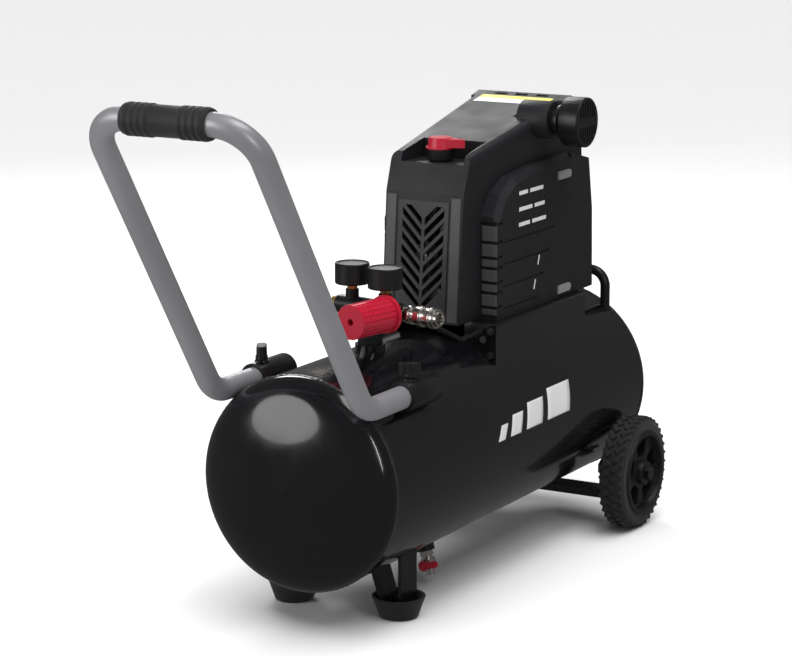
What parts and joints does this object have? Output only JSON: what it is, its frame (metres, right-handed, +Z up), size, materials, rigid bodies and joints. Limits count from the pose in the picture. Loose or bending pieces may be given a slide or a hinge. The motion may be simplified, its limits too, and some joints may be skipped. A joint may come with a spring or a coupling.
{
  "type": "hotdog air compressor",
  "caption": "Portable air compressor: shrouded piston pump on a long horizontal tank, with push handle, wheels, rubber feet, regulator, gauges and quick coupler.",
  "frame": {"origin": "on the floor under the middle of the whole machine's box", "axes": "+X along the tank towards the wheels, +Y to the left when facing the wheels from the push handle, +Z up"},
  "size_m": [0.92, 0.328, 0.601],
  "materials": {
    "black_paint": "high gloss enamel",
    "silver_paint": "satin powder coat",
    "shroud_plastic": "fine moulded grain",
    "black_plastic": "moulded, slightly glossy",
    "red_plastic": "moulded, semi gloss",
    "rubber": "soft matte",
    "tyre": "moulded tread",
    "brass": "machined",
    "nickel": "nickel plated",
    "zinc": "zinc plated",
    "cast_aluminium": "as cast",
    "cast_iron": "as cast",
    "steel": "ground",
    "winding": "laminations and enamelled wire",
    "dial": "printed scale",
    "clear_lens": "clear",
    "filter_foam": "open foam"
  },
  "bodies": {
    "machine": {"tank_barrel": "black_paint", "tank_front_head": "black_paint", "tank_rear_head": "black_paint", "tank_bungs": "black_paint", "saddle_plate": "black_paint", "handle_sockets": "black_paint", "rear_lift_handle": "black_paint", "front_foot_bracket": "black_paint", "wheel_bracket": "black_paint", "manifold_block": "black_paint", "riser_pipe": "black_paint", "foot_cups": "rubber", "gauge_cases": "black_plastic", "intake_neck": "black_plastic", "cord_gland": "black_plastic", "pressure_switch_body": "black_plastic", "regulator_body": "black_plastic", "shroud_hood": "shroud_plastic", "shroud_rear": "shroud_plastic", "side_panel_right": "shroud_plastic", "side_panel_left": "shroud_plastic", "vent_grille": "shroud_plastic", "gauge_stems": "brass", "safety_valve_body": "brass", "coupler_body": "nickel", "drain_valve_body": "nickel", "axle_bolts": "zinc", "frame_bolts": "zinc", "crank_bearings": "steel", "supply_tube": "steel", "discharge_tube": "steel", "crankcase": "cast_aluminium", "cylinder_head": "cast_aluminium", "motor_frame": "cast_aluminium", "cylinder": "cast_iron", "motor_stator": "winding", "gauge_dials": "dial", "gauge_lenses": "clear_lens", "filter_element": "filter_foam"},
    "push_handle": {"push_handle_tube": "silver_paint", "push_handle_grip": "rubber"},
    "clamp_knob_right": {"clamp_knob_right": "black_plastic"},
    "clamp_knob_left": {"clamp_knob_left": "black_plastic"},
    "wheel_right": {"wheel_right_tyre": "tyre", "wheel_right_hub": "black_plastic"},
    "wheel_left": {"wheel_left_tyre": "tyre", "wheel_left_hub": "black_plastic"},
    "drain_lever": {"drain_valve_lever": "red_plastic"},
    "switch_knob": {"pressure_switch_knob": "red_plastic"},
    "regulator_knob": {"regulator_knob": "red_plastic"},
    "needle_left": {"gauge_needle_left": "red_plastic"},
    "needle_right": {"gauge_needle_right": "red_plastic"},
    "safety_ring": {"safety_valve_ring": "brass"},
    "coupler_sleeve": {"coupler_sleeve": "nickel"},
    "filter_cap": {"filter_cap": "black_plastic"},
    "crank": {"crankshaft": "steel", "motor_rotor": "steel", "cooling_fan": "black_plastic"},
    "piston": {"piston": "cast_aluminium"},
    "rod": {"connecting_rod": "cast_aluminium"}
  },
  "joints": [
    {"name": "handle_slide", "type": "slide", "parent": "machine", "child": "push_handle", "axis": [-1, 0, 0], "range_m": [0, 0.05]},
    {"name": "clamp_knob_right_turn", "type": "hinge", "parent": "machine", "child": "clamp_knob_right", "pos_m": [-0.132, -0.094, 0.29], "axis": [0, 0, 1], "range_deg": [0, 720]},
    {"name": "clamp_knob_left_turn", "type": "hinge", "parent": "machine", "child": "clamp_knob_left", "pos_m": [-0.132, 0.094, 0.29], "axis": [0, 0, 1], "range_deg": [0, 720]},
    {"name": "wheel_right_spin", "type": "hinge", "parent": "machine", "child": "wheel_right", "pos_m": [0.353, -0.138, 0.07], "axis": [0, 1, 0], "continuous": true},
    {"name": "wheel_left_spin", "type": "hinge", "parent": "machine", "child": "wheel_left", "pos_m": [0.353, 0.138, 0.07], "axis": [0, 1, 0], "continuous": true},
    {"name": "drain_lever_turn", "type": "hinge", "parent": "machine", "child": "drain_lever", "pos_m": [0.015, -0.03753, 0.02394], "axis": [1, 0, 0], "range_deg": [0, 90]},
    {"name": "switch_knob_turn", "type": "hinge", "parent": "machine", "child": "switch_knob", "pos_m": [0.112, 0.002, 0.48], "axis": [0, 0, -1], "range_deg": [0, 90]},
    {"name": "regulator_turn", "type": "hinge", "parent": "machine", "child": "regulator_knob", "pos_m": [-0.09964, -0.02851, 0.332], "axis": [-0.9848, 0.1736, 0], "range_deg": [-540, 540]},
    {"name": "needle_left_swing", "type": "hinge", "parent": "machine", "child": "needle_left", "pos_m": [-0.04949, 0.02561, 0.374], "axis": [0, 0, -1], "range_deg": [0, 270], "stiffness_Nm_per_rad": 0.0005},
    {"name": "needle_right_swing", "type": "hinge", "parent": "machine", "child": "needle_right", "pos_m": [-0.05782, -0.02167, 0.374], "axis": [0, 0, -1], "range_deg": [0, 270], "stiffness_Nm_per_rad": 0.0005},
    {"name": "safety_ring_pull", "type": "slide", "parent": "machine", "child": "safety_ring", "axis": [0.1736, 0.9848, 0], "range_m": [0, 0.003], "stiffness_N_per_m": 2000},
    {"name": "coupler_sleeve_slide", "type": "slide", "parent": "machine", "child": "coupler_sleeve", "axis": [0.1736, 0.9848, 0], "range_m": [0, 0.005], "stiffness_N_per_m": 1200},
    {"name": "filter_cap_twist", "type": "hinge", "parent": "machine", "child": "filter_cap", "pos_m": [0.247, -0.11, 0.514], "axis": [0, -1, 0], "range_deg": [0, 40]},
    {"name": "crank_spin", "type": "hinge", "parent": "machine", "child": "crank", "pos_m": [0.197, 0, 0.374], "axis": [1, 0, 0], "continuous": true},
    {"name": "piston_slide", "type": "slide", "parent": "machine", "child": "piston", "axis": [0, 0, -1], "range_m": [0, 0.03]},
    {"name": "rod_swing", "type": "hinge", "parent": "piston", "child": "rod", "pos_m": [0.247, 0, 0.464], "axis": [1, 0, 0], "range_deg": [-12, 12]}
  ]
}
